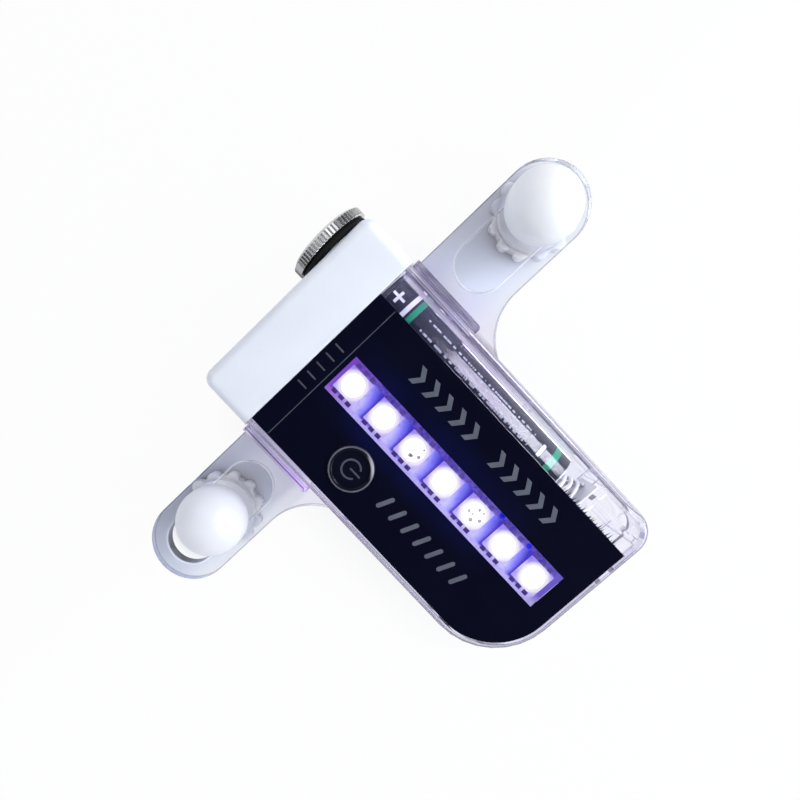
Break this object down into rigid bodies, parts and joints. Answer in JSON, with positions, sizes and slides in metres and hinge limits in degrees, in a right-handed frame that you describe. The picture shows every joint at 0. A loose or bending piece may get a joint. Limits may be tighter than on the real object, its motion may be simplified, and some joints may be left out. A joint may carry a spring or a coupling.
{
  "type": "spoke wheel light",
  "caption": "Clear double-sided wheel light with a lamp row, black label, white end cap, knurled battery cap and two slotted wings whose domed clamps grip bicycle spokes.",
  "frame": {"origin": "middle of the bounding box on the plane of the back", "axes": "+X along the wings towards the battery side, +Y towards the screw cap, +Z out of the front"},
  "size_m": [0.103, 0.0764, 0.0184],
  "materials": {
    "clear_plastic": "clear, polished",
    "white_plastic": "smooth, slightly glossy",
    "saddle_plastic": "matt",
    "label_film": "glossy black film",
    "button_plastic": "glossy black",
    "board": "white solder mask",
    "lamp_body": "white moulded",
    "lamp_lens": "clear resin, lit",
    "tinned_metal": "tinned",
    "dark_plastic": "matt dark",
    "gilt_metal": "plain",
    "cell_wrap": "printed film",
    "nickel": "nickel plated, knurled",
    "seal_rubber": "matt"
  },
  "bodies": {
    "light": {"front_shell": "clear_plastic", "rear_shell": "clear_plastic", "end_cap": "white_plastic", "cap_insert": "gilt_metal", "front_label": "label_film", "rear_label": "label_film", "front_board": "board", "rear_board": "board", "front_leds": "lamp_body", "rear_leds": "lamp_body", "front_led_lenses": "lamp_lens", "rear_led_lenses": "lamp_lens", "front_led_leads": "tinned_metal", "rear_led_leads": "tinned_metal", "board_spacers": "dark_plastic", "board_links": "gilt_metal", "control_chip": "dark_plastic", "button_switch": "dark_plastic", "motion_switch": "gilt_metal", "battery_can": "tinned_metal", "battery_sleeve": "cell_wrap", "battery_spring": "tinned_metal", "negative_contact": "tinned_metal", "positive_strap": "tinned_metal"},
    "button": {"power_button": "button_plastic"},
    "seal_ring": {"cap_seal": "seal_rubber"},
    "screw_cap": {"battery_cap": "nickel"},
    "left_head": {"left_knob": "white_plastic"},
    "left_press": {"left_saddle": "saddle_plastic"},
    "left_hand_nut": {"left_nut": "white_plastic"},
    "right_head": {"right_knob": "white_plastic"},
    "right_press": {"right_saddle": "saddle_plastic"},
    "right_hand_nut": {"right_nut": "white_plastic"}
  },
  "joints": [
    {"name": "button_press", "type": "slide", "parent": "light", "child": "button", "axis": [0, 0, -1], "range_m": [0, 0.0004], "stiffness_N_per_m": 800},
    {"name": "cap_lift", "type": "slide", "parent": "light", "child": "seal_ring", "axis": [0, 1, 0], "range_m": [0, 0.00482]},
    {"name": "cap_turn", "type": "hinge", "parent": "seal_ring", "child": "screw_cap", "pos_m": [0.0123, 0.03615, 0.0085], "axis": [0, 1, 0], "range_deg": [0, 1440]},
    {"name": "left_slot_slide", "type": "slide", "parent": "light", "child": "left_head", "axis": [1, 0, 0], "range_m": [-0.00615, 0.00865]},
    {"name": "left_press_shift", "type": "slide", "parent": "left_head", "child": "left_press", "axis": [0, 0, -1], "range_m": [0, 0.0025]},
    {"name": "left_nut_turn", "type": "hinge", "parent": "left_press", "child": "left_hand_nut", "pos_m": [-0.0376, 0.01565, 0.0056], "axis": [0, 0, -1], "range_deg": [0, 721]},
    {"name": "right_slot_slide", "type": "slide", "parent": "light", "child": "right_head", "axis": [1, 0, 0], "range_m": [-0.01365, 0.00115]},
    {"name": "right_press_shift", "type": "slide", "parent": "right_head", "child": "right_press", "axis": [0, 0, -1], "range_m": [0, 0.0025]},
    {"name": "right_nut_turn", "type": "hinge", "parent": "right_press", "child": "right_hand_nut", "pos_m": [0.0426, 0.01565, 0.0056], "axis": [0, 0, -1], "range_deg": [0, 721]}
  ],
  "couplings": [
    {"joint": "cap_lift", "follows": "cap_turn", "m_per_rad": 0.00019099},
    {"joint": "left_nut_turn", "follows": "left_press_shift", "rad_per_m": 5026.5},
    {"joint": "right_nut_turn", "follows": "right_press_shift", "rad_per_m": 5026.5}
  ]
}
